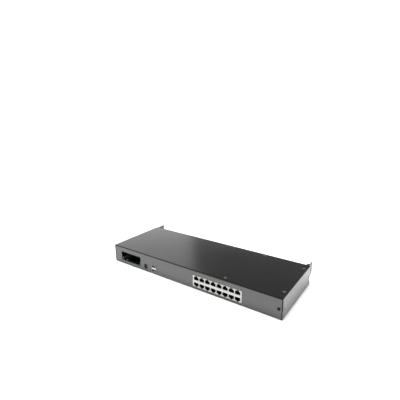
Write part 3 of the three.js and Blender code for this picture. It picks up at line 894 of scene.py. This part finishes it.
dc_middle = face_point("dc_jack_pin", -AXES["y"])
dc_middle.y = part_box("dc_jack_body")[0].y
dc_rim_graph = ring_graph("dc_rim_graph", 1, HOUSING, DC_RIM_STEPS, DC_RIM)
dc_rim = grown("dc_rim", dc_rim_graph, [dc_middle])
dc_rim.data.shade_smooth()
finish_piece(dc_rim, HOUSING, "jack_plastic")

# %% [markdown]
# ## Small parts on the board
#
# The bay shows the main board under the card. A real board is dotted with tiny ceramic parts
# that lie along two directions. Points are scattered over a patch with a least distance between
# them, a part with two tinned ends is put on each, and a random choice of a quarter turn lays
# it one way or the other.

# %% Small board parts
PART_SEED = 11
PART_SPACING = 5.5 * MM
PARTS_PER_M2 = 60000.0
PART_BODY = (2.0 * MM, 1.2 * MM, 0.6 * MM)
PART_CAP = (0.4 * MM, 1.26 * MM, 0.66 * MM)
PART_HALF = 1.0 * MM
PART_LIFT = 0.33 * MM
COIN = (0.499, 0.501)  # turns a random number from 0 to 1 into 0 or 1
SIDE_MARGIN = 4 * MM
MOUTH_MARGIN = 14 * MM
END_MARGIN = 6 * MM


def part_graph(wide, long):
    graph = Graph("board_part_graph", Wide=wide, Long=long, Spacing=PART_SPACING)
    body = graph.painted(graph.block(*PART_BODY), CERAMIC)
    cap = graph.painted(graph.block(*PART_CAP), TINNED)
    ends = [graph.move(cap, x=side * PART_HALF) for side in (-1, 1)]
    part = graph.shape("JoinGeometry", Geometry=[body, *ends])
    patch = {"Size_X": graph.size("Wide"), "Size_Y": graph.size("Long")}
    sheet = graph.shape("MeshGrid", Vertices_X=2, Vertices_Y=2, **patch)
    spread = {"Distance_Min": graph.size("Spacing"), "Density_Max": PARTS_PER_M2}
    method = {"distribute_method": "POISSON"}
    points = graph.shape("DistributePointsOnFaces", method, Mesh=sheet, Seed=PART_SEED, **spread)
    pick = graph.node("FunctionNodeRandomValue", Min=0.0, Max=1.0, Seed=PART_SEED)
    turn = graph.vector(z=pick.between(*COIN) * (math.pi / 2))
    copies = graph.shape("InstanceOnPoints", Points=points, Instance=part, Rotation=turn)
    return graph.finish(graph.on_points(graph.real(copies)))


def board_parts():
    left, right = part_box("left_guide_rail"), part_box("right_guide_rail")
    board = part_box("main_board")[1]
    x0, x1 = left[1].x + SIDE_MARGIN, right[0].x - SIDE_MARGIN
    y0, y1 = left[0].y + MOUTH_MARGIN, left[1].y - END_MARGIN
    middle = ((x0 + x1) / 2, (y0 + y1) / 2, board.z + PART_LIFT)
    return grown("board_parts", part_graph(x1 - x0, y1 - y0), [middle])


finish_piece(board_parts(), None, "chip_moulding")

# %% [markdown]
# ## Port numbers
#
# Small printed numbers stand above the sockets. They are text turned into mesh, and a hair
# thicker than the paint, as silk-screen ink is. Text starts flat on the ground, so it is stood
# up before it is moved to its place.

# %% Port numbers
NUMBER_SIZE = 2.8 * MM
NUMBER_LIFT = 2.4 * MM
ODD_PLACE = 0.27  # across a column, where the upper socket's number stands
EVEN_PLACE = 0.73
INK_THICK = 0.015 * MM
LETTER_STEPS = 3


def number_mesh(text):
    curve = bpy.data.curves.new("number", "FONT")
    curve.body = text
    curve.size = NUMBER_SIZE
    curve.align_x = "CENTER"
    curve.extrude = INK_THICK
    curve.resolution_u = LETTER_STEPS
    holder = new_piece("number", curve)
    bpy.context.view_layer.update()
    seen = holder.evaluated_get(bpy.context.evaluated_depsgraph_get())
    mesh = bpy.data.meshes.new_from_object(seen)
    bpy.data.objects.remove(holder)
    bpy.data.curves.remove(curve)
    return mesh


def port_numbers():
    work = bmesh.new()
    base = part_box("port_shield")[1].z + NUMBER_LIFT
    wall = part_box("base_tray")[0].y
    stand = Matrix.Rotation(math.pi / 2, 4, "X")
    for column in COLUMNS:
        low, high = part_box(f"port_pair_{column}")
        for number, part in ((2 * column - 1, ODD_PLACE), (2 * column, EVEN_PLACE)):
            place = Vector((low.x + (high.x - low.x) * part, wall, base))
            mesh = number_mesh(str(number))
            mesh.transform(Matrix.Translation(place) @ stand)
            work.from_mesh(mesh)
            bpy.data.meshes.remove(mesh)
    mesh = bpy.data.meshes.new("port_numbers")
    work.to_mesh(mesh)
    work.free()
    return new_piece("port_numbers", mesh)


finish_piece(port_numbers(), INK, "case_paint")

# %% [markdown]
# ## Finishes for the CAD nodes that stay
#
# What is deep inside keeps its CAD shape and gets a real finish. The record says which slot
# each node belongs to, so a table from slot to finish is enough.

# %% Inner pieces
SLOT_FINISH = {
    "case_paint": CASE_PAINT,
    "bracket_paint": BRACKET_PAINT,
    "black_screw": BLACK_SCREW,
    "tinned_steel": TINNED,
    "jack_plastic": HOUSING,
    "board_laminate": BOARD,
    "chip_moulding": CHIP,
    "can_aluminium": CAN,
    "zinc_steel": ZINC,
    "black_anodised": ANODISED,
}

for part in frame["record"]["subparts"]:
    for slot in frame["nodes"][part["node"]].material_slots:
        slot.material = SLOT_FINISH[part["material_slot"]]

# %% [markdown]
# ## The studio
#
# A product picture needs a white floor that melts into a white background, and soft light. A
# wide sun lamp gives even light at any distance, as a big overhead softbox does near by. It
# leans to the left, so the floor close to the right side is in half shadow, and it is hidden
# from mirror reflections, or satin paint seen from above would look white. The world is white
# to the camera and near the horizon. Higher up, where only the paint mirrors it, it is dark, so
# that dark paint has something dark to mirror. One tall softbox stands behind on the left: its
# mirror image is the pale area on the left of the cover.

# %% Floor, world and lights
FLOOR_HALF = 8.0
PAPER_SCALE = 400
PAPER_DARK = tint(0.785, 0.785, 0.785)
PAPER_PALE = tint(0.8, 0.8, 0.8)
SKY_WHITE = 1.15
SKY_DARK = 0.05
SKY_LOW = 0.31
SKY_HIGH = 0.35
OVERHEAD = 7.7
OVERHEAD_SPREAD = math.radians(62)
OVERHEAD_LEAN = math.radians(-9)
SOFTBOX_EDGE = Vector((-1.05, 1.355, 0))
SOFTBOX_WIDE = 2.2
SOFTBOX_TALL = 1.9
SOFTBOX_LOW = 0.25
SOFTBOX_GLOW = 0.79


def add_floor():
    h = FLOOR_HALF
    mesh = bpy.data.meshes.new("floor")
    mesh.from_pydata([(-h, -h, 0), (h, -h, 0), (h, h, 0), (-h, h, 0)], [], [(0, 1, 2, 3)])
    floor = new_piece("floor", mesh)
    paper = Finish("floor_paper", Roughness=0.9)
    fibre = paper.noise(PAPER_SCALE, 3)
    paper.set("Base Color", paper.mix(fibre, PAPER_DARK, PAPER_PALE))
    floor.data.materials.append(paper.material)


def add_world():
    world = bpy.data.worlds.new("studio")
    world.use_nodes = True
    scene.world = world
    tree = world.node_tree
    glow = tree.nodes["Background"]
    glow.inputs["Color"].default_value = (1, 1, 1, 1)
    way = add_node(tree, "ShaderNodeTexCoord", output="Generated")
    height = add_node(tree, "ShaderNodeSeparateXYZ", sockets={"Vector": way}, output="Z")
    level = height.between(SKY_LOW, SKY_HIGH) * (SKY_DARK - SKY_WHITE) + SKY_WHITE
    seen = add_node(tree, "ShaderNodeLightPath", output="Is Camera Ray")
    connect(tree, glow.inputs["Strength"], level.either(seen * SKY_WHITE))


def add_overhead():
    lamp = bpy.data.lights.new("overhead", "SUN")
    lamp.energy = OVERHEAD
    lamp.angle = OVERHEAD_SPREAD
    overhead = new_piece("overhead", lamp)
    overhead.rotation_euler = (0, OVERHEAD_LEAN, 0)
    overhead.visible_glossy = False


def add_softbox():
    glow = bpy.data.lights.new("softbox", "AREA")
    glow.shape = "RECTANGLE"
    glow.size = SOFTBOX_WIDE
    glow.size_y = SOFTBOX_TALL
    glow.energy = SOFTBOX_GLOW * math.pi * SOFTBOX_WIDE * SOFTBOX_TALL
    softbox = new_piece("softbox", glow)
    along = Vector((-SOFTBOX_EDGE.y, SOFTBOX_EDGE.x, 0)).normalized()
    middle = SOFTBOX_EDGE + along * (SOFTBOX_WIDE / 2)
    middle.z = SOFTBOX_LOW + SOFTBOX_TALL / 2
    softbox.location = middle
    softbox.rotation_euler = SOFTBOX_EDGE.to_track_quat("Z", "Y").to_euler()
    softbox.visible_camera = False
    print("softbox at", [round(v, 3) for v in middle])


add_floor()
add_world()
add_overhead()
add_softbox()
scene.view_settings.view_transform = "Standard"
